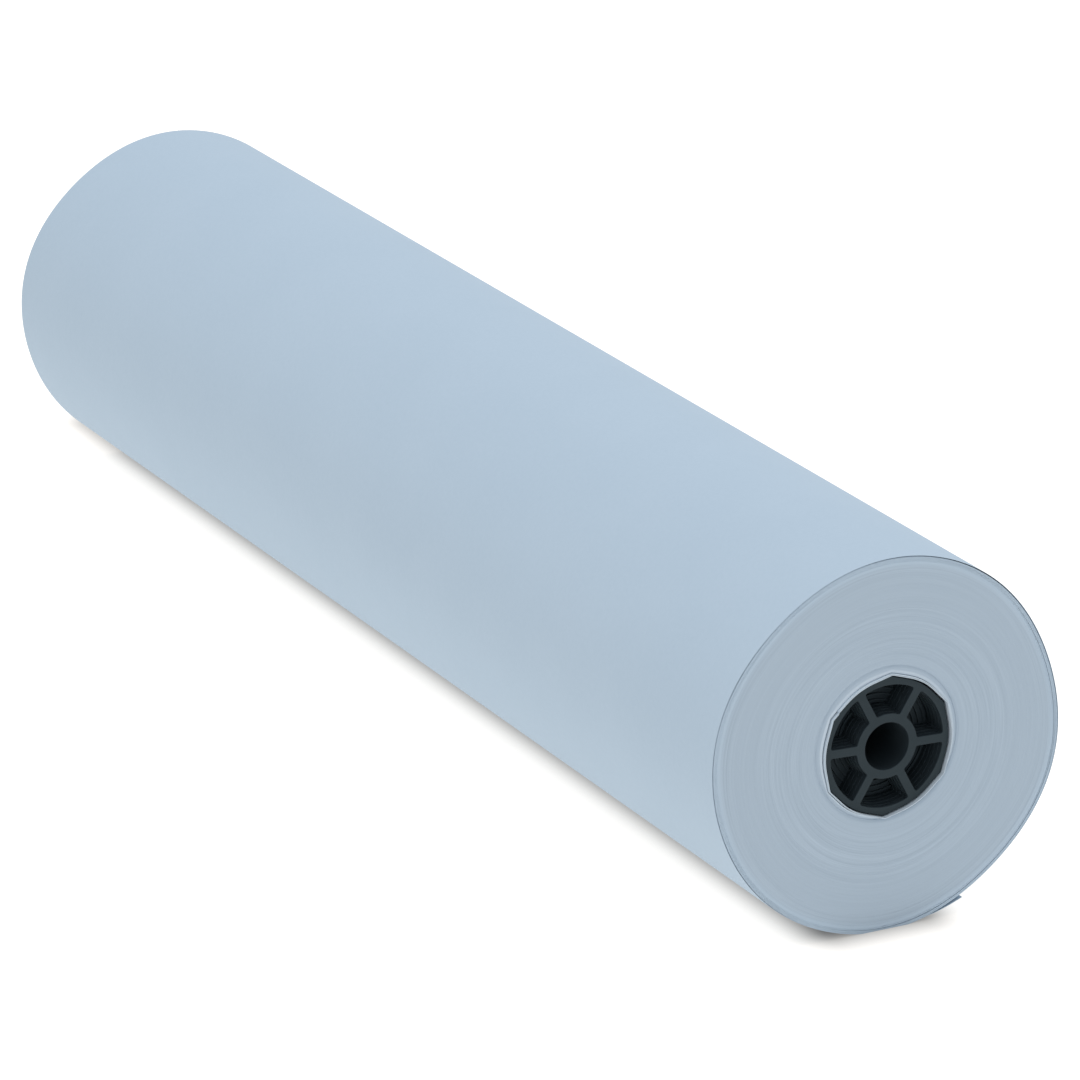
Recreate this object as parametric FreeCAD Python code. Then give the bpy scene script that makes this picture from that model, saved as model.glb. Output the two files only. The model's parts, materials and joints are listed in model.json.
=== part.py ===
"""Backdrop paper roll: one long web of coloured paper wound on itself with no tube inside, and a moulded
plastic plug pressed into each end of the hole so that the roll can turn on a one-inch shaft.

Frame: X runs along the roll's axis and Z is up. The origin is on the floor, under the middle of the roll.
Lengths are in millimetres. Angles are in degrees about the roll's axis, from +Y towards +Z.

The web is one piece of paper. It is modelled as four solids, because it behaves in four ways: the inner
wraps that the plugs push out of round, the tight winding, the slack outer wraps, and the free tail.
"""
import FreeCAD, Part

import math
import os

from FreeCAD import Vector

# The web and its winding.
web_width = 914.4            # 36 in paper, which is the length of the roll
roll_radius = 106.0          # to the outside of the last wrap
mandrel_radius = 38.1        # the 3 in mandrel that the paper was wound on
inner_wraps_wall = 5.6       # from the hole to the ring where the wraps are round again
inner_wraps_shift = 0.9      # the inner wraps have crept this far towards +X
outer_wraps_wall = 3.2       # the slack wraps that carry the roll
wrap_gap = 0.3               # air between tight and slack wraps
floor_flat_depth = 1.0       # how far the slack wraps flatten where the roll lies on the floor

# The free end of the web.
tail_start_angle = -76.0     # where the tail leaves the roll, low on the +Y side
tail_length = 24.0
tail_thickness = 0.3
tail_opening = 5.0           # how far the tail stands open at rest
tail_gap = 0.1               # air under the tail when it is pressed shut
tail_root_gap = 0.3          # air between the tail's root and the last wrap's edge

# The plug, from its face inwards.
plug_recess = 0.8            # the face lies this far inside the tight winding's end
plug_depth = 38.0
rim_slack = 0.1              # between its corners the rim is this much smaller than the hole
corner_bite = 1.5            # each of the rim's corners reaches this far into the paper
corner_count = 6
first_corner_angle = 28.0
rim_wall = 3.5
hub_wall = 5.05
shaft_bore_radius = 13.35    # clears a one-inch shaft
spoke_width = 5.0
pocket_depth = 15.0
pocket_steps = 5             # the pockets narrow by even steps towards their floor, as draft
pocket_step_width = 0.35
pocket_corner_radius = 1.2
floor_thickness = 2.5
floor_ring_height = 1.1
floor_ring_width = 0.8
floor_ring_count = 4
sleeve_wall = 3.4            # the hub behind the floor
skirt_wall = 2.6             # the rim behind the floor
lead_in = 1.8                # chamfer round the inner end
face_edge_radius = 0.35
grip_clearance = 0.15        # between the plug and the paper, all round
grip_run_past = 3.0          # the hole keeps the plug's shape this far behind the plug

# Worked out from the sizes above.
half_width = web_width / 2
axis_height = roll_radius - floor_flat_depth
inner_wraps_radius = mandrel_radius + inner_wraps_wall
outer_wraps_inner_radius = roll_radius - outer_wraps_wall
rim_radius = mandrel_radius - rim_slack
corner_radius = mandrel_radius + corner_bite
corner_half_angle = math.degrees(math.acos(rim_radius / corner_radius))
corner_pitch = 360.0 / corner_count
face_x = half_width - plug_recess
plug_end_x = face_x - plug_depth
rim_inner_radius = rim_radius - rim_wall
hub_radius = shaft_bore_radius + hub_wall

margin = 1.0                 # how far a cutting tool runs past what it cuts
spiral_arcs_per_turn = 12


def at(radius, angle, x):
    """The point at that radius and angle round the roll's axis."""
    turn = math.radians(angle)
    return Vector(x, radius * math.cos(turn), axis_height + radius * math.sin(turn))


def cylinder(radius, x_low, x_high):
    return Part.makeCylinder(radius, x_high - x_low, Vector(x_low, 0, axis_height), Vector(1, 0, 0))


def ring(outer, inner, x_low, x_high):
    return cylinder(outer, x_low, x_high).cut(cylinder(inner, x_low - margin, x_high + margin))


def along_axis(edges, x_low, x_high):
    """The solid that a closed outline at x_low makes on its way to x_high."""
    return Part.Face(Part.Wire(edges)).extrude(Vector(x_high - x_low, 0, 0))


def turned_end_for_end(shape):
    other_end = shape.copy()
    other_end.rotate(Vector(0, 0, axis_height), Vector(0, 0, 1), 180)
    return other_end


def grip_outline(radius, x):
    """The rim's outline: a circle pushed out to a corner between each pair of spokes."""
    tip = radius / math.cos(math.radians(corner_half_angle))
    edges = []
    for i in range(corner_count):
        corner = first_corner_angle + i * corner_pitch
        leaves = corner + corner_half_angle
        meets = corner + corner_pitch - corner_half_angle
        edges.append(Part.makeLine(at(radius, corner - corner_half_angle, x), at(tip, corner, x)))
        edges.append(Part.makeLine(at(tip, corner, x), at(radius, leaves, x)))
        middle = (leaves + meets) / 2
        edges.append(Part.Arc(at(radius, leaves, x), at(radius, middle, x), at(radius, meets, x)).toShape())
    return edges


def spiral_outline(first_radius, last_radius, first_angle, x):
    """One turn of a spiral whose radius grows evenly, closed by the step where the turn ends."""
    def on_spiral(share):
        return at(first_radius + (last_radius - first_radius) * share, first_angle + 360 * share, x)

    edges = []
    for i in range(spiral_arcs_per_turn):
        shares = [(i + part) / spiral_arcs_per_turn for part in (0, 0.5, 1)]
        edges.append(Part.Arc(*[on_spiral(share) for share in shares]).toShape())
    edges.append(Part.makeLine(on_spiral(1), on_spiral(0)))
    return edges


def make_inner_wraps():
    """The first wraps. The hole is round where the mandrel was, and takes the plugs' shape at the ends."""
    x_low = -half_width + inner_wraps_shift
    x_high = half_width + inner_wraps_shift
    grip_end = plug_end_x - grip_run_past
    wraps = ring(inner_wraps_radius, mandrel_radius, x_low, x_high)
    drawn_in = [
        ring(inner_wraps_radius, rim_inner_radius, grip_end, x_high),
        ring(inner_wraps_radius, rim_inner_radius, x_low, -grip_end),
    ]
    grip = along_axis(grip_outline(rim_radius + grip_clearance, grip_end), grip_end, x_high + margin)
    return wraps.fuse(drawn_in).cut([grip, turned_end_for_end(grip)]).removeSplitter()


def make_paper_winding():
    """The tight wraps, which hold nearly all of the paper."""
    inner = inner_wraps_radius + wrap_gap
    outer = outer_wraps_inner_radius - wrap_gap
    return ring(outer, inner, -half_width, half_width)


def make_outer_wraps():
    """The slack wraps: a turn of spiral outside, with a flat where they rest on the floor."""
    outline = spiral_outline(roll_radius - tail_thickness, roll_radius, tail_start_angle, -half_width)
    wraps = along_axis(outline, -half_width, half_width)
    wraps = wraps.cut(cylinder(outer_wraps_inner_radius, -half_width - margin, half_width + margin))
    below = Part.makeBox(
        web_width + 2 * margin, 2 * roll_radius, roll_radius, Vector(-half_width - margin, -roll_radius, -roll_radius)
    )
    return wraps.cut(below)


def tail_root():
    """The point on the line that the tail bends about, at x 0."""
    return at(roll_radius - tail_thickness / 2, tail_start_angle, 0)


def make_paper_tail():
    """The free end of the web, curved as it lay on the roll and standing a little open."""
    inner = roll_radius - tail_thickness + tail_gap
    outer = inner + tail_thickness
    first = tail_start_angle + math.degrees(tail_root_gap / roll_radius)
    last = tail_start_angle + math.degrees(tail_length / roll_radius)
    middle = (first + last) / 2
    x = -half_width
    edges = [
        Part.Arc(at(inner, first, x), at(inner, middle, x), at(inner, last, x)).toShape(),
        Part.makeLine(at(inner, last, x), at(outer, last, x)),
        Part.Arc(at(outer, last, x), at(outer, middle, x), at(outer, first, x)).toShape(),
        Part.makeLine(at(outer, first, x), at(inner, first, x)),
    ]
    tail = along_axis(edges, -half_width, half_width)
    tail.rotate(tail_root(), Vector(1, 0, 0), -tail_opening)
    return tail


def spoke_bars(width, x_low, x_high):
    """Bars across the plug, one for each opposite pair of spokes."""
    bars = []
    for i in range(corner_count // 2):
        angle = first_corner_angle + (i + 0.5) * corner_pitch
        bar = Part.makeBox(
            x_high - x_low, 2 * rim_radius, width, Vector(x_low, -rim_radius, axis_height - width / 2)
        )
        bar.rotate(Vector(0, 0, axis_height), Vector(1, 0, 0), angle)
        bars.append(bar)
    return bars


def runs_along_axis(edge):
    start, end = edge.Vertexes[0].Point, edge.Vertexes[-1].Point
    return abs(start.y - end.y) < 1e-6 and abs(start.z - end.z) < 1e-6 and abs(start.x - end.x) > 1e-6


def make_pockets():
    """What is missing between the spokes, in front of the floor: layers, each narrower than the last."""
    layer_depth = pocket_depth / pocket_steps
    pockets = []
    for i in range(pocket_steps):
        inset = i * pocket_step_width
        x_low = face_x - (i + 1) * layer_depth
        x_high = face_x - i * layer_depth + (margin if i == 0 else 0)
        layer = ring(rim_inner_radius - inset, hub_radius + inset, x_low, x_high)
        layer = layer.cut(spoke_bars(spoke_width + 2 * inset, x_low - margin, x_high + margin))
        for pocket in layer.Solids:
            corners = [edge for edge in pocket.Edges if runs_along_axis(edge)]
            pockets.append(pocket.makeFillet(pocket_corner_radius, corners))
    return pockets


def make_floor_rings():
    """Low stiffening rings on the floor, evenly spaced between hub and rim."""
    floor_x = face_x - pocket_depth
    spacing = (rim_inner_radius - hub_radius) / (floor_ring_count + 1)
    rings = []
    for i in range(floor_ring_count):
        middle = hub_radius + (i + 1) * spacing
        outer = middle + floor_ring_width / 2
        rings.append(ring(outer, outer - floor_ring_width, floor_x - margin, floor_x + floor_ring_height))
    return rings


def make_core_plug():
    """The +X plug: hub, spokes, rim and a floor behind the pockets, with a sleeve and a skirt further in."""
    plug = along_axis(grip_outline(rim_radius, plug_end_x), plug_end_x, face_x)
    inner_end = [edge for edge in plug.Edges if all(abs(v.X - plug_end_x) < 1e-6 for v in edge.Vertexes)]
    plug = plug.makeChamfer(lead_in, inner_end)
    plug = plug.cut(make_pockets())
    back_x = face_x - pocket_depth - floor_thickness
    plug = plug.cut(ring(rim_radius - skirt_wall, shaft_bore_radius + sleeve_wall, plug_end_x - margin, back_x))
    plug = plug.fuse(make_floor_rings())
    plug = plug.cut(cylinder(shaft_bore_radius, plug_end_x - margin, face_x + margin)).removeSplitter()
    face_edges = [edge for edge in plug.Edges if all(abs(v.X - face_x) < 1e-6 for v in edge.Vertexes)]
    return plug.makeFillet(face_edge_radius, face_edges)


def main():
    right_core_plug = make_core_plug()
    nodes = {
        "inner_wraps": make_inner_wraps(),
        "paper_winding": make_paper_winding(),
        "outer_wraps": make_outer_wraps(),
        "paper_tail": make_paper_tail(),
        "right_core_plug": right_core_plug,
        "left_core_plug": turned_end_for_end(right_core_plug),
    }
    os.makedirs("parts", exist_ok=True)
    for name, shape in nodes.items():
        shape.exportStep(f"parts/{name}.step")
        print(name, "solids", len(shape.Solids), "valid", shape.isValid(), "volume", round(shape.Volume))
    root = tail_root()
    print("axis height", axis_height, "tail root", round(root.y, 3), round(root.z, 3))


main()
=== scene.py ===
"""Backdrop paper roll: light blue kraft paper wound on itself with no tube, and a black plug in each end.

The paper is made by two kinds of node tree. "wound web" makes loose wraps as a real spiral of thin sheet: the first
wraps round the plugs, the slack wraps outside, and the free tail. "wound block" makes what is wound so tight
that only its two ends show: the tight winding and the wraps that line it, with every ring a little proud of
its neighbours or behind them.

Everything is in metres. X runs along the roll's axis and Z is up. Angles are about that axis, from +Y
towards +Z, in degrees here and in radians inside the node trees.
"""
import json
import math

import bpy
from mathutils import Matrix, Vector


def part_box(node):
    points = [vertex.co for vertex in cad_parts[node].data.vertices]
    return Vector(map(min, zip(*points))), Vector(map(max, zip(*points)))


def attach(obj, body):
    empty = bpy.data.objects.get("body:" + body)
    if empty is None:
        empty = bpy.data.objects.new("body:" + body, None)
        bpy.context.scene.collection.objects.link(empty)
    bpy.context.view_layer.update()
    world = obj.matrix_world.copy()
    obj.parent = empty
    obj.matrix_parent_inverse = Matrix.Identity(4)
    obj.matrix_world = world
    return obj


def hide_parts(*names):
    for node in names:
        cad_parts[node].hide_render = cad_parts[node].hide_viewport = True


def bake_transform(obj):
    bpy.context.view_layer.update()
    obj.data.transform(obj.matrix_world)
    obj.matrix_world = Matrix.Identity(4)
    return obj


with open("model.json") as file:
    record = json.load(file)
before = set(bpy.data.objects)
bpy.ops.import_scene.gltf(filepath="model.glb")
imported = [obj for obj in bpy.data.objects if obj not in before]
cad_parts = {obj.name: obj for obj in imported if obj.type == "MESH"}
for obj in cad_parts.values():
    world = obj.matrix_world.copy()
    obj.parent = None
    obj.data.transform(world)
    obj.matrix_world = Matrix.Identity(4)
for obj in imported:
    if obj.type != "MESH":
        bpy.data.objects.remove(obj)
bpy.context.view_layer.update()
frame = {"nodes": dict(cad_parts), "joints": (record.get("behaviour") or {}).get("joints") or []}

MM = 0.001

# What the frame says.
winding_low, winding_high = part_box("paper_winding")
inner_low, inner_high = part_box("inner_wraps")
outer_low, outer_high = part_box("outer_wraps")
plug_low, plug_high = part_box("right_core_plug")
tail_joint = next(joint for joint in frame["joints"] if joint["name"] == "tail_flex")

HALF_WIDTH = winding_high.x
WINDING_RADIUS = (winding_high.y - winding_low.y) / 2
AXIS_HEIGHT = (winding_high.z + winding_low.z) / 2
ROLL_RADIUS = outer_high.z - AXIS_HEIGHT
RIM_RADIUS = (plug_high.y - plug_low.y) / 2
TAIL_ROOT_Y = tail_joint["pos_m"][1]
TAIL_ROOT_Z = tail_joint["pos_m"][2]

# The plug's outline, which the wraps near it follow: from the roll's end to DRAWN_IN_DEPTH, the last part of that
# fading, and DRAWN_IN_WALL into the paper.
CORNER_RADIUS = RIM_RADIUS + 1.6 * MM
CORNER_COUNT = 6
FIRST_CORNER = 28.0
MANDREL_RADIUS = RIM_RADIUS + 0.1 * MM
PLUG_GAP = 0.5 * MM
DRAWN_IN_DEPTH = 48 * MM
DRAWN_IN_FADE = 4 * MM
DRAWN_IN_WALL = 6 * MM

# The slack wraps outside, with air between them. SEAM is what is left between them and the winding.
SHEET = 0.2 * MM
WRAP_PITCH = 0.24 * MM
SLACK_WRAPS = 12
SLACK_RADIUS = ROLL_RADIUS - SLACK_WRAPS * WRAP_PITCH
SEAM = 0.02 * MM

# The first wraps, thicker than the rest because a few sheets lie together. They have crept out of the winding.
FIRST_WRAPS = 2
FIRST_SHEET = 0.34 * MM
FIRST_PITCH = 0.5 * MM
FIRST_RADIUS = MANDREL_RADIUS + FIRST_SHEET + SEAM
FIRST_WRAPS_RADIUS = FIRST_RADIUS + FIRST_WRAPS * FIRST_PITCH
FIRST_WRAPS_PROUD = 0.35 * MM

# A shallow groove in the roll's ends, between the winding and its lining. The first wraps have sagged onto the
# mandrel, so it isn't centred on the axis: it lies higher, and a little towards -Y. The wraps near it are moved
# with it, out to GROOVE_PULL_END. GROOVE_SEAM is half of what is left between winding and lining.
GROOVE_RADIUS = 43.2 * MM
GROOVE_HALF_WIDTH = 1.7 * MM
GROOVE_DEPTH = 0.6 * MM
GROOVE_SEAM = 0.005 * MM
GROOVE_RISE = 2.4 * MM
GROOVE_ASIDE = 0.85 * MM
GROOVE_PULL_END = 1.5 * GROOVE_RADIUS

# The free end of the web: how far it stands open and how wavy it is, in degrees, and its length.
TAIL_OPENING = 5.0
TAIL_WAVE = 2.0
TAIL_REACH = 24.0 * MM

# Dark and light tones of the mottle: of the sheet, of the first wraps, and of the tight wraps' cut edges. The first
# wraps' tones are paler than the sheet's, a painted highlight where their proud edges catch the light. The cut
# edges' are darker than the sheet's, painted shade of the hair-thin gaps between them.
PAPER_TONES = ((0.383, 0.484, 0.583), (0.432, 0.533, 0.631))
FIRST_WRAPS_HIGHLIGHT_TONES = ((0.47, 0.555, 0.635), (0.54, 0.63, 0.71))
CUT_EDGE_SHADED_TONES = ((0.320, 0.397, 0.476), (0.405, 0.494, 0.583))

# The shadow painted under the roll, which lies towards -X: its middle, how far from there it stays full, and its
# fade.
# Past its two ends it fades more slowly, because distances count for less there.
SHADOW_MIDDLE_X = -36 * MM
SHADOW_MIDDLE_Y = -1.8 * MM
SHADOW_HALF_LENGTH = HALF_WIDTH + 22 * MM
SHADOW_HALF_BREADTH = 25.8 * MM
SHADOW_FADE = 30 * MM
SHADOW_END_SCALE = 0.77

# Where the slack wraps part: turns from the surface, the gap's middle and half its spread, its height in mm.
GAPS = (
    (1.0, 40, 70, 0.5), (1.0, 118, 50, 0.3), (1.0, 185, 62, 0.36),
    (7.5, -50, 66, 0.42), (9.5, 4, 48, 0.24),
)
# The dents that the gaps make in the wraps below them fade out between these radii.
DENTS_END = WINDING_RADIUS - 15 * MM
DENTS_FULL = WINDING_RADIUS - 1 * MM
# How the roll bulges, from lying about: lobes round it, height in mm, phase in degrees. Deeper in, it is round.
BULGES = ((2, 0.22, -54), (3, 0.31, -119), (4, 0.79, -49), (5, 0.16, -66), (6, 0.32, -108))
BULGES_END = 0.6 * ROLL_RADIUS
# Where the roll rests, each wrap lies this share of its depth above the floor.
RESTING_SHARE = 0.4


class Value:
    """An output of a node. Sums of values make the nodes that work them out."""

    def __init__(self, tree, socket):
        self.tree = tree
        self.socket = socket

    def __add__(self, other):
        return calculate("ADD", self, other)

    def __radd__(self, other):
        return calculate("ADD", other, self)

    def __sub__(self, other):
        return calculate("SUBTRACT", self, other)

    def __rsub__(self, other):
        return calculate("SUBTRACT", other, self)

    def __mul__(self, other):
        return calculate("MULTIPLY", self, other)

    def __truediv__(self, other):
        return calculate("DIVIDE", self, other)

    def __rtruediv__(self, other):
        return calculate("DIVIDE", other, self)


def feed(socket, value):
    """Sets a node's input to a number or a point, or links it to a value."""
    if isinstance(value, Value):
        value.tree.links.new(value.socket, socket)
    else:
        socket.default_value = value


def calculate(operation, *values):
    tree = next(value.tree for value in values if isinstance(value, Value))
    node = tree.nodes.new("ShaderNodeMath")
    node.operation = operation
    for socket, value in zip(node.inputs, values):
        feed(socket, value)
    return Value(tree, node.outputs[0])


def add_node(tree, kind, settings=None, **inputs):
    """A node with its settings, and with inputs named as on the node, underscores standing for spaces."""
    node = tree.nodes.new(kind)
    for name, value in (settings or {}).items():
        setattr(node, name, value)
    for name, value in inputs.items():
        feed(node.inputs[name.replace("_", " ")], value)
    return node


def output(node, name=0):
    return Value(node.id_data, node.outputs[name])


def smooth_step(value, start, end):
    """0 up to start, 1 past end, and an even ease between them."""
    node = add_node(value.tree, "ShaderNodeMapRange", {"interpolation_type": "SMOOTHSTEP"})
    feed(node.inputs["Value"], value)
    feed(node.inputs["From Min"], start)
    feed(node.inputs["From Max"], end)
    return output(node)


def between(start, end, share):
    return share * (end - start) + start


def ring_strength(radius):
    """How plainly the rings show at that radius: most where the winding machine ran unevenly, which is in a band
    half way out and near the outside.
    """
    band_middle, band_full, band_end = 64 * MM, 6 * MM, 22 * MM
    outside_start, outside_full = 90 * MM, 99 * MM
    in_band = smooth_step(calculate("ABSOLUTE", radius - band_middle), band_end, band_full)
    outside = smooth_step(radius, outside_start, outside_full)
    return between(0.3, 1.0, calculate("MAXIMUM", in_band, outside))


def point(tree, x, y, z):
    return output(add_node(tree, "ShaderNodeCombineXYZ", X=x, Y=y, Z=z))


def noise(tree, at, scale, detail=2.0, roughness=0.5):
    """Smooth noise about 0, from roughly -0.5 to 0.5."""
    node = add_node(
        tree, "ShaderNodeTexNoise", {"noise_dimensions": "3D"},
        Vector=at, Scale=scale, Detail=detail, Roughness=roughness,
    )
    return output(node) - 0.5


# ---- shape trees ----

def new_tree(name, inputs):
    """A geometry tree with named inputs, and the values of those inputs."""
    tree = bpy.data.node_groups.new(name, "GeometryNodeTree")
    for input_name, kind, default in inputs:
        socket = tree.interface.new_socket(name=input_name, in_out="INPUT", socket_type="NodeSocket" + kind)
        socket.default_value = default
    tree.interface.new_socket(name="Geometry", in_out="OUTPUT", socket_type="NodeSocketGeometry")
    entry = tree.nodes.new("NodeGroupInput")
    return tree, {input_name: output(entry, input_name) for input_name, kind, default in inputs}


def section_grid(tree, rows, columns):
    """A grid, and how far along it (0 to 1) and across it (0 to 1) each of its points is."""
    grid = add_node(tree, "GeometryNodeMeshGrid", Size_X=1.0, Size_Y=1.0, Vertices_X=rows, Vertices_Y=columns)
    place = add_node(tree, "ShaderNodeSeparateXYZ", Vector=output(add_node(tree, "GeometryNodeInputPosition")))
    return output(grid, "Mesh"), output(place, "X") + 0.5, output(place, "Y") + 0.5


def finish_tree(tree, geometry, position, wrap, material, smooth_angle):
    """Moves the grid's points, closes its seams, turns it right side out and shades it, with sharp creases where it
    turns by more than smooth_angle degrees. Each point keeps its wrap's radius, in mm, for the materials.
    """
    stored = add_node(
        tree, "GeometryNodeStoreNamedAttribute", {"data_type": "FLOAT", "domain": "POINT"},
        Geometry=geometry, Name="wrap", Value=wrap,
    )
    moved = add_node(tree, "GeometryNodeSetPosition", Geometry=output(stored), Position=position)
    merged = add_node(tree, "GeometryNodeMergeByDistance", Geometry=output(moved), Distance=0.001 * MM)
    outward = add_node(tree, "GeometryNodeFlipFaces", Mesh=output(merged))
    smooth = add_node(tree, "GeometryNodeSetShadeSmooth", {"domain": "FACE"}, Geometry=output(outward))
    angle = output(add_node(tree, "GeometryNodeInputMeshEdgeAngle"), "Unsigned Angle")
    crease = add_node(
        tree, "GeometryNodeSetShadeSmooth", {"domain": "EDGE"}, Geometry=output(smooth),
        Selection=calculate("GREATER_THAN", angle, math.radians(smooth_angle)), Shade_Smooth=False,
    )
    real = add_node(tree, "GeometryNodeRealizeInstances", Geometry=output(crease))
    coated = add_node(tree, "GeometryNodeSetMaterial", Geometry=output(real), Material=material)
    end = tree.nodes.new("NodeGroupOutput")
    feed(end.inputs["Geometry"], output(coated))


def out_of_round(angle):
    """How far the roll bulges at each angle."""
    total = 0.0
    for lobes, height, phase in BULGES:
        total = calculate("COSINE", angle * lobes - math.radians(phase)) * (height * MM) + total
    return total


def slack_above(angle, radius):
    """How far the wrap of that radius sits in, because of the gaps between the wraps above it."""
    turns_to_go = (ROLL_RADIUS - radius) / WRAP_PITCH
    total = 0.0
    for turns, middle, spread, height in GAPS:
        from_middle = calculate("COSINE", angle - math.radians(middle))
        lobe = smooth_step(from_middle, math.cos(math.radians(spread)), 1.0)
        total = lobe * calculate("GREATER_THAN", turns_to_go, turns) * (height * MM) + total
    return total * smooth_step(radius, DENTS_END, DENTS_FULL)


def plug_outline(angle, x):
    """How far outside the round hole, or inside it, paper that follows the plug lies. Flat sides run from each of
    the plug's corners to where they touch its round rim. The two plugs mirror each other.
    """
    half = math.acos(RIM_RADIUS / CORNER_RADIUS)
    pitch = math.tau / CORNER_COUNT
    corner = calculate("SIGN", x) * (math.radians(FIRST_CORNER) - pitch / 2) + pitch / 2
    from_corner = calculate("WRAP", angle - corner, pitch / 2, -pitch / 2)
    slope = calculate("MAXIMUM", half - calculate("ABSOLUTE", from_corner), 0.0)
    return RIM_RADIUS / calculate("COSINE", slope) + (PLUG_GAP - MANDREL_RADIUS)


def on_roll(tree, radius, angle, x):
    """The point of the wrap of that radius at that angle and x, with all that pushes wraps out of round."""
    depth = HALF_WIDTH - calculate("ABSOLUTE", x)
    near_plug = smooth_step(depth, DRAWN_IN_DEPTH, DRAWN_IN_DEPTH - DRAWN_IN_FADE)
    near_hole = smooth_step(radius, MANDREL_RADIUS + DRAWN_IN_WALL, MANDREL_RADIUS)
    outside = smooth_step(radius, BULGES_END, ROLL_RADIUS)
    below_groove = smooth_step(radius, MANDREL_RADIUS, GROOVE_RADIUS)
    above_groove = smooth_step(radius, GROOVE_PULL_END, GROOVE_RADIUS)
    near_groove = below_groove * above_groove
    sag = calculate("SINE", angle) * GROOVE_RISE - calculate("COSINE", angle) * GROOVE_ASIDE
    drawn_in = plug_outline(angle, x) * near_plug * near_hole
    pushed = radius + drawn_in + out_of_round(angle) * outside + sag * near_groove
    y = pushed * calculate("COSINE", angle)
    z = pushed * calculate("SINE", angle) + AXIS_HEIGHT
    resting = calculate("MAXIMUM", (ROLL_RADIUS - radius) * RESTING_SHARE, 0.0)
    return y, calculate("MAXIMUM", z, resting)


def wound_web_tree(material):
    """Loose wraps as one spiral sheet with thickness, closed at its edges and at its two ends."""
    tree, value = new_tree("wound web", (
        ("Turns", "Float", 3.0), ("Rows", "Int", 600), ("Columns", "Int", 4),
        ("Last Angle", "Float", 0.0), ("First Radius", "Float", 0.0), ("Last Radius", "Float", 0.0),
        ("Thickness", "Float", SHEET), ("Low X", "Float", 0.0), ("High X", "Float", 0.0),
        ("Edge Wander", "Float", 0.0), ("Peel Start", "Float", 100.0), ("Peel Angle", "Float", 0.0),
        ("Peel Wave", "Float", 0.0), ("Seed", "Float", 0.0),
    ))
    columns = value["Columns"]
    grid, along, across = section_grid(tree, value["Rows"], columns * 2 + 1)
    # Across the grid run the outer side from high x to low x, then the inner side back again.
    column = calculate("ROUND", across * columns * 2)
    inside = calculate("GREATER_THAN", column, columns - 0.5) * calculate("LESS_THAN", column, columns * 2 - 0.5)
    back = calculate("GREATER_THAN", column, columns - 0.5)
    step = calculate("MAXIMUM", between(column, columns * 2 - 1 - column, back), 0.0)
    share = step / (columns - 1)
    turns_to_go = value["Turns"] * (1 - along)
    angle = value["Last Angle"] - turns_to_go * math.tau
    around = calculate("COSINE", angle)
    upward = calculate("SINE", angle)

    # Towards the web's edges the columns are closer together, where the plugs bend the paper.
    side = calculate("SIGN", 0.5 - share)
    from_edge = 1 - calculate("ABSOLUTE", 1 - share * 2)
    reach = 1 - from_edge * from_edge
    middle = (value["High X"] + value["Low X"]) / 2
    half = (value["High X"] - value["Low X"]) / 2
    wander = noise(tree, point(tree, around * 1.5, upward * 1.5, turns_to_go * 0.9 + value["Seed"]), 1.0, 3.0)
    x = middle + side * reach * half + wander * value["Edge Wander"] * reach

    # The sheet has its thickness everywhere but at its first and last row, where its two sides meet.
    radius = between(value["First Radius"], value["Last Radius"], along)
    between_ends = calculate("GREATER_THAN", along, 0.00001) * calculate("LESS_THAN", along, 0.99999)
    layer = radius - slack_above(angle, radius) - inside * between_ends * value["Thickness"]
    y, z = on_roll(tree, layer, angle, x)

    # Past the peel's start the sheet stands off the roll, turned about the tail's root.
    ripple = noise(tree, point(tree, x * 9.0, along, value["Seed"]), 1.0, 1.0) * value["Peel Wave"]
    peel = smooth_step(angle, value["Peel Start"], value["Peel Start"] + 0.05) * (value["Peel Angle"] + ripple)
    off_y = y - TAIL_ROOT_Y
    off_z = z - TAIL_ROOT_Z
    cosine = calculate("COSINE", peel)
    sine = calculate("SINE", peel)
    position = point(
        tree, x, TAIL_ROOT_Y + off_y * cosine + off_z * sine, TAIL_ROOT_Z + off_z * cosine - off_y * sine
    )
    finish_tree(tree, grid, position, layer / MM, material, 40)
    return tree


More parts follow.
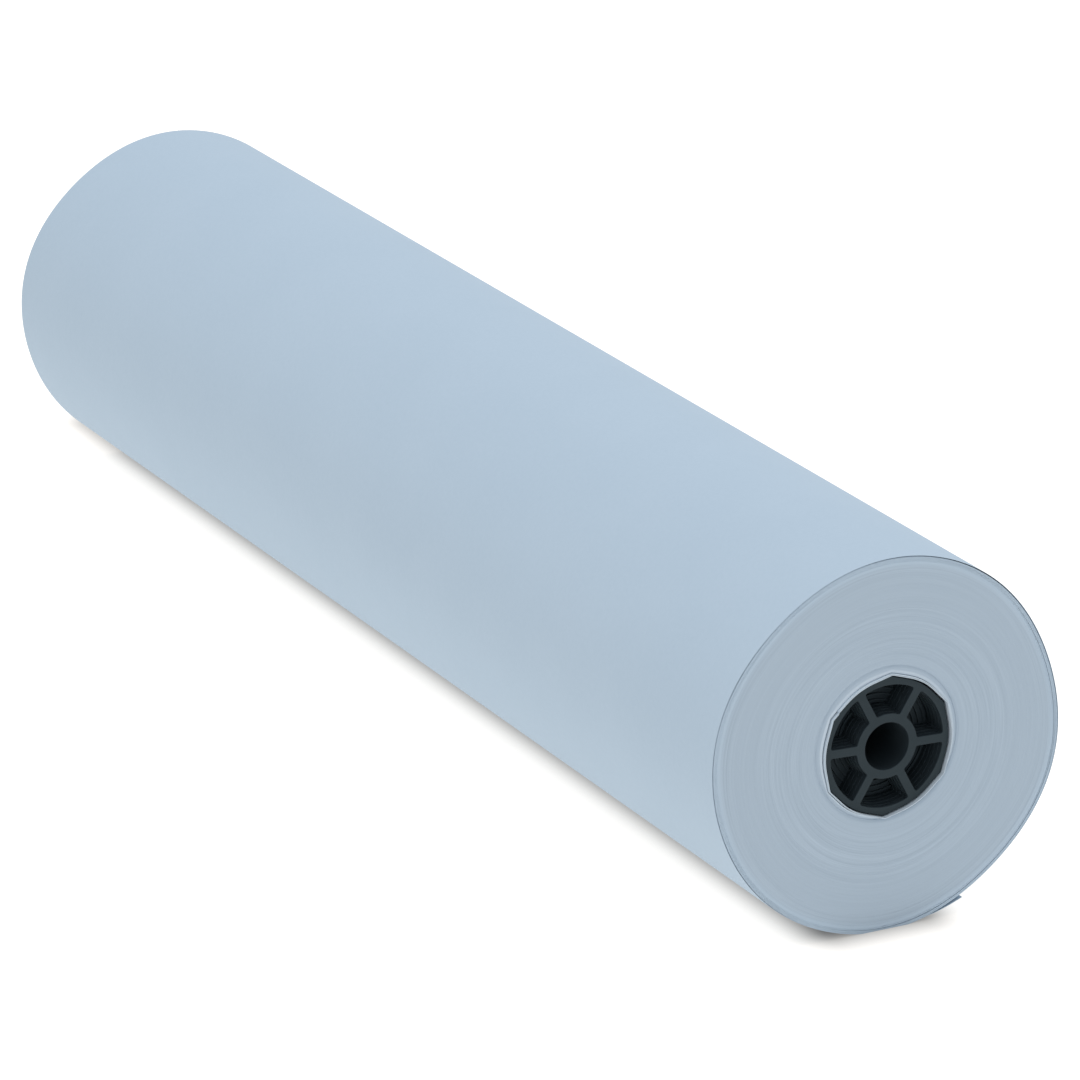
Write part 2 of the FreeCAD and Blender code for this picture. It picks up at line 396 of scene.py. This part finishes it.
def wound_block_tree(material):
    """Tight wraps as one block with a round hole, whose two ends are rings a little proud or behind."""
    tree, value = new_tree("wound block", (
        ("Rings", "Int", 160), ("Around", "Int", 256), ("Inner Radius", "Float", 0.0),
        ("Outer Radius", "Float", 0.0), ("Low X", "Float", 0.0), ("High X", "Float", 0.0),
        ("Ring Relief", "Float", 0.0), ("Band Relief", "Float", 0.0), ("Proud Inside", "Float", 0.0),
        ("Groove Depth", "Float", 0.0), ("Spiral Rise", "Float", 0.0), ("Seed", "Float", 0.0),
    ))
    rings = value["Rings"]
    grid, along, across = section_grid(tree, value["Around"] + 1, rings * 2 + 3)
    # Across the grid run the +X end outwards, then the -X end inwards, and the last row is the first again.
    row = calculate("ROUND", across * (rings * 2 + 2))
    on_far_end = calculate("GREATER_THAN", row, rings + 0.5) * calculate("LESS_THAN", row, rings * 2 + 1.5)
    closing = calculate("GREATER_THAN", row, rings * 2 + 1.5)
    ring = between(row, rings * 2 + 1 - row, on_far_end) * (1 - closing)
    share = ring / rings
    angle = along * math.tau
    # The outermost ring follows the spiral of the slack wraps that lie on it.
    spiral = calculate("FRACT", along + 0.25) * smooth_step(share, 0.9, 1.0) * value["Spiral Rise"]
    radius = between(value["Inner Radius"], value["Outer Radius"], share) + spiral
    around = calculate("COSINE", angle)
    upward = calculate("SINE", angle)
    seed = value["Seed"] + on_far_end * 7.0
    # Each ring has its own height, more so where the winding machine wandered.
    ring_place = point(tree, around * 0.45, upward * 0.45, ring * 0.9 + seed * 10.0)
    band_place = point(tree, around * 0.3, upward * 0.3, ring * 0.06 + seed)
    ring_height = noise(tree, ring_place, 1.0, 0.0)
    band_height = noise(tree, band_place, 1.0, 2.0)
    wandering = smooth_step(noise(tree, band_place, 2.1, 1.0), -0.15, 0.2)
    proud = value["Proud Inside"] * smooth_step(share, 0.35, 0.0)
    from_groove = calculate("ABSOLUTE", radius - GROOVE_RADIUS)
    sunk = value["Groove Depth"] * smooth_step(from_groove, GROOVE_HALF_WIDTH, 0.0)
    rings_height = ring_height * wandering * ring_strength(radius) * value["Ring Relief"]
    height = rings_height + band_height * value["Band Relief"] + proud - sunk
    x = between(value["High X"] + height, value["Low X"] - height, on_far_end)
    y, z = on_roll(tree, radius - slack_above(angle, radius), angle, x)
    finish_tree(tree, grid, point(tree, x, y, z), radius / MM, material, 60)
    return tree


def add_object(name, data):
    item = bpy.data.objects.new(name, data)
    bpy.context.scene.collection.objects.link(item)
    return item


def grow(name, tree, sizes):
    """Runs a tree with those sizes, and keeps the result as a plain mesh."""
    holder = add_object(name + " holder", bpy.data.meshes.new(name + " holder"))
    modifier = holder.modifiers.new("shape", "NODES")
    modifier.node_group = tree
    for socket in tree.interface.items_tree:
        if socket.in_out == "INPUT" and socket.name in sizes:
            modifier[socket.identifier] = sizes[socket.name]
    depsgraph = bpy.context.evaluated_depsgraph_get()
    mesh = bpy.data.meshes.new_from_object(
        holder.evaluated_get(depsgraph), preserve_all_data_layers=True, depsgraph=depsgraph
    )
    mesh.name = name
    piece = add_object(name, mesh)
    bpy.data.objects.remove(holder)
    return piece


# ---- materials ----

def new_material(name, **settings):
    """A material, its tree and its shader, with those settings on the shader's own sockets."""
    material = bpy.data.materials.new(name)
    material.use_nodes = True
    tree = material.node_tree
    shader = tree.nodes["Principled BSDF"]
    for setting, value in settings.items():
        shader.inputs[setting.replace("_", " ")].default_value = value
    return material, tree, shader


def object_place(tree):
    return output(add_node(tree, "ShaderNodeTexCoord"), "Object")


def stretched(tree, place, scale):
    return output(add_node(tree, "ShaderNodeMapping", Vector=place, Scale=scale))


def mixed(tree, first, second, share):
    """The first colour, or the second where share is 1. Several of the node's sockets share a name, so those for
    colours go by number.
    """
    mix = add_node(tree, "ShaderNodeMix", {"data_type": "RGBA", "clamp_factor": True}, Factor=share)
    feed(mix.inputs[6], first)
    feed(mix.inputs[7], second)
    return output(mix, 2)


def tinted(tree, dark, light, share):
    return mixed(tree, (*dark, 1), (*light, 1), share)


def bump(tree, height, distance, strength=1.0):
    return output(add_node(tree, "ShaderNodeBump", Height=height, Distance=distance, Strength=strength), "Normal")


def paper_material(name, dark, light):
    """Uncoated blue kraft: matt, with a fibre mottle and faint lines along the machine's direction."""
    material, tree, shader = new_material(name, Roughness=0.82, IOR=1.45, Specular_IOR_Level=0.25)
    place = object_place(tree)
    cloud = noise(tree, place, 14.0, 3.0, 0.55)
    mottle = noise(tree, place, 420.0, 3.0, 0.6)
    fibres = noise(tree, stretched(tree, place, (1.0, 0.25, 0.25)), 1600.0, 2.0, 0.6)
    tone = 0.5 + cloud * 0.5 + mottle * 0.55 + fibres * 0.5
    feed(shader.inputs["Base Color"], tinted(tree, dark, light, tone))
    feed(shader.inputs["Normal"], bump(tree, fibres + mottle * 1.5, 0.03 * MM, 0.6))
    return material


def cut_edges_material():
    """The ends of the tight wraps: hundreds of cut edges, with hair-thin gaps between them whose shade is painted
    into their darker tones. Towards the outside they take the sheet's tones, with less of that painted shade, and
    next to the hole the paler tones of the first wraps with their painted highlight, between the radii given in mm.
    """
    slack_start, slack_full = 99, 103
    pale_start, pale_full = 41.3, 40.3
    material, tree, shader = new_material("cut paper edges", Roughness=0.9, IOR=1.45, Specular_IOR_Level=0.2)
    place = add_node(tree, "ShaderNodeSeparateXYZ", Vector=object_place(tree))
    y = output(place, "Y")
    z = output(place, "Z") - AXIS_HEIGHT
    radius = calculate("SQRT", y * y + z * z) + 0.001 * MM
    wrap = output(add_node(tree, "ShaderNodeAttribute", {"attribute_name": "wrap"}), "Fac")
    # The two ends of the roll lie in different parts of the noise.
    which_end = output(place, "X") * 3.0
    # The rings' light and dark tones are partly the edges' own tone and partly painted light and shade of the steps
    # between proud and sunk rings.
    fine = noise(tree, point(tree, y / radius * 1.2, z / radius * 1.2 + which_end, wrap * 5.0), 1.0, 2.0, 0.7)
    bands = noise(tree, point(tree, y / radius * 0.8, z / radius * 0.8 + which_end, wrap * 0.8), 1.0, 3.0, 0.6)
    tone = 0.5 + (fine * 1.5 + bands * 1.4) * ring_strength(wrap * MM)
    # tight: the cut edges' darker tones, painted shade of the gaps. pale: the first wraps' paler tones, a painted
    # highlight.
    tight = tinted(tree, *CUT_EDGE_SHADED_TONES, tone)
    slack = tinted(tree, *PAPER_TONES, tone)
    pale = tinted(tree, *FIRST_WRAPS_HIGHLIGHT_TONES, tone)
    outwards = mixed(tree, tight, slack, smooth_step(wrap, slack_start, slack_full) * 0.8)
    feed(shader.inputs["Base Color"], mixed(tree, outwards, pale, smooth_step(wrap, pale_start, pale_full)))
    feed(shader.inputs["Normal"], bump(tree, fine + bands, 0.08 * MM, 0.7))
    return material


def plug_material():
    """Black moulded plastic, satin, with a faint grain and flow marks."""
    material, tree, shader = new_material(
        "black moulded plastic", IOR=1.46, Specular_IOR_Level=0.2, Specular_Tint=(0.75, 0.95, 1.0, 1)
    )
    place = object_place(tree)
    grain = noise(tree, place, 2600.0, 2.0, 0.6)
    flow = noise(tree, stretched(tree, place, (1.0, 0.35, 1.0)), 90.0, 3.0, 0.6)
    feed(shader.inputs["Base Color"], tinted(tree, (0.017, 0.025, 0.031), (0.026, 0.036, 0.043), 0.5 + flow))
    feed(shader.inputs["Roughness"], 0.46 + flow * 0.16 + grain * 0.08)
    feed(shader.inputs["Normal"], bump(tree, grain + flow * 2.0, 0.02 * MM, 0.5))
    return material


# ---- pieces ----

def make_tight_winding(tree):
    piece = grow("tight_winding", tree, {
        "Rings": 150, "Around": 288,
        "Inner Radius": GROOVE_RADIUS + GROOVE_SEAM, "Outer Radius": SLACK_RADIUS - SHEET - SEAM,
        "Spiral Rise": WRAP_PITCH,
        "Low X": winding_low.x, "High X": winding_high.x,
        "Ring Relief": 0.5 * MM, "Band Relief": 0.5 * MM, "Proud Inside": 0.25 * MM,
        "Groove Depth": GROOVE_DEPTH, "Seed": 3.0,
    })
    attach(piece, "roll")
    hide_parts("paper_winding")


def make_lining(tree):
    """The wraps between the loose first wraps and the tight winding."""
    piece = grow("lining_wraps", tree, {
        "Rings": 18, "Around": 288,
        "Inner Radius": FIRST_WRAPS_RADIUS + 0.1 * MM, "Outer Radius": GROOVE_RADIUS - GROOVE_SEAM,
        "Low X": winding_low.x, "High X": winding_high.x,
        "Ring Relief": 0.2 * MM, "Band Relief": 0.2 * MM, "Proud Inside": 0.0,
        "Groove Depth": GROOVE_DEPTH, "Seed": 8.0,
    })
    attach(piece, "roll")
    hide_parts("inner_wraps")


def make_first_wraps(tree):
    """The first wraps, which line the hole and follow the plugs' corners."""
    piece = grow("first_wraps", tree, {
        "Turns": float(FIRST_WRAPS), "Rows": FIRST_WRAPS * 240 + 1, "Columns": 14,
        "Last Angle": math.radians(141), "First Radius": FIRST_RADIUS,
        "Last Radius": FIRST_WRAPS_RADIUS, "Thickness": FIRST_SHEET,
        "Low X": inner_low.x - FIRST_WRAPS_PROUD, "High X": inner_high.x + FIRST_WRAPS_PROUD,
        "Edge Wander": 0.4 * MM, "Seed": 2.0,
    })
    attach(piece, "roll")
    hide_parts("inner_wraps")


def make_slack_wraps(tree):
    """The last wraps, up to where the web touches the floor under the roll."""
    piece = grow("slack_wraps", tree, {
        "Turns": float(SLACK_WRAPS), "Rows": SLACK_WRAPS * 200 + 1, "Columns": 8,
        "Last Angle": math.radians(270), "First Radius": SLACK_RADIUS, "Last Radius": ROLL_RADIUS,
        "Thickness": SHEET, "Low X": outer_low.x, "High X": outer_high.x,
        "Edge Wander": 0.45 * MM, "Seed": 5.0,
    })
    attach(piece, "roll")
    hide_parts("outer_wraps")


def make_loose_end(tree):
    """The end of the web, from the floor to its free edge."""
    root = math.atan2(TAIL_ROOT_Z - AXIS_HEIGHT, TAIL_ROOT_Y)
    tip = root + TAIL_REACH / ROLL_RADIUS
    start = math.radians(-90)
    piece = grow("loose_end", tree, {
        "Turns": (tip - start) / math.tau, "Rows": 60, "Columns": 28,
        "Last Angle": tip, "First Radius": ROLL_RADIUS, "Last Radius": ROLL_RADIUS + 0.05 * MM,
        "Thickness": SHEET, "Low X": outer_low.x, "High X": outer_high.x, "Edge Wander": 0.0,
        "Peel Start": root, "Peel Angle": math.radians(TAIL_OPENING), "Peel Wave": math.radians(TAIL_WAVE),
        "Seed": 1.0,
    })
    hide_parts("paper_tail")
    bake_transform(piece)


def finish_plugs(plastic):
    for name in ("right_core_plug", "left_core_plug"):
        node = frame["nodes"][name]
        node.data.materials.clear()
        node.data.materials.append(plastic)


# ---- setting ----

def make_floor():
    """A white table that glows as if lit from below, with a narrow soft shadow painted under the roll: there its
    glow is turned down and its colour darkened.
    """
    material, tree, shader = new_material("white floor with painted shadow", Roughness=1.0, Specular_IOR_Level=0.0)
    # The glow is warm, and this gives the painted shadow its warm tint.
    shader.inputs["Emission Color"].default_value = (1.0, 0.975, 0.945, 1)
    place = add_node(tree, "ShaderNodeSeparateXYZ", Vector=object_place(tree))
    across = calculate("ABSOLUTE", output(place, "Y") - SHADOW_MIDDLE_Y)
    along = calculate("ABSOLUTE", output(place, "X") - SHADOW_MIDDLE_X)
    aside = calculate("MAXIMUM", across - SHADOW_HALF_BREADTH, 0.0)
    past_end = calculate("MAXIMUM", along - SHADOW_HALF_LENGTH, 0.0) * SHADOW_END_SCALE
    # lit is 0 in the painted shadow and 1 outside it.
    lit = smooth_step(calculate("SQRT", aside * aside + past_end * past_end), 0.0, SHADOW_FADE)
    # Painted shadow: under the roll the floor's colour is darker and warmer, and its glow is turned down.
    feed(shader.inputs["Base Color"], tinted(tree, (0.32, 0.31, 0.295), (0.445, 0.43, 0.41), lit))
    feed(shader.inputs["Emission Strength"], between(0.08, 0.8, lit))
    mesh = bpy.data.meshes.new("floor")
    reach = 30.0
    corners = [(-reach, -reach, 0), (reach, -reach, 0), (reach, reach, 0), (-reach, reach, 0)]
    mesh.from_pydata(corners, [], [(0, 1, 2, 3)])
    mesh.materials.append(material)
    floor = add_object("floor", mesh)


def add_area_light(name, place, target, size, power, colour=(1, 1, 1)):
    light = bpy.data.lights.new(name, "AREA")
    light.shape = "DISK"
    light.size = size
    light.energy = power
    light.color = colour
    lamp = add_object(name, light)
    lamp.location = place
    lamp.rotation_euler = (Vector(target) - Vector(place)).to_track_quat("-Z", "Y").to_euler()


def make_lights():
    world = bpy.data.worlds.new("white studio")
    bpy.context.scene.world = world
    world.use_nodes = True
    background = world.node_tree.nodes["Background"]
    background.inputs["Color"].default_value = (0.97, 0.98, 1.0, 1)
    background.inputs["Strength"].default_value = 0.85
    add_area_light("overhead softbox", (0.0, 0.3, 3.3), (0, 0, 0.1), 2.2, 34)


def make_camera():
    azimuth = math.radians(62.45)
    elevation = math.radians(19.65)
    distance = 3.70
    target = Vector((58.9 * MM, 0, 95.2 * MM))
    data = bpy.data.cameras.new("camera")
    data.sensor_width = 36.0
    data.lens = 211.7
    data.clip_end = 100.0
    camera = add_object("camera", data)
    flat = math.cos(elevation)
    away = Vector((math.sin(azimuth) * flat, -math.cos(azimuth) * flat, math.sin(elevation)))
    camera.location = target + away * distance
    camera.rotation_euler = (-away).to_track_quat("-Z", "Y").to_euler()
    bpy.context.scene.camera = camera


def main():
    bpy.context.scene.view_settings.view_transform = "Standard"
    make_camera()
    make_lights()
    make_floor()
    web = wound_web_tree(paper_material("blue kraft paper", *PAPER_TONES))
    # The first wraps' paler tones are a painted highlight where their proud edges catch the light.
    first_web = wound_web_tree(paper_material("first wraps with painted highlight", *FIRST_WRAPS_HIGHLIGHT_TONES))
    block = wound_block_tree(cut_edges_material())
    make_tight_winding(block)
    make_lining(block)
    make_first_wraps(first_web)
    make_slack_wraps(web)
    make_loose_end(web)
    finish_plugs(plug_material())


main()
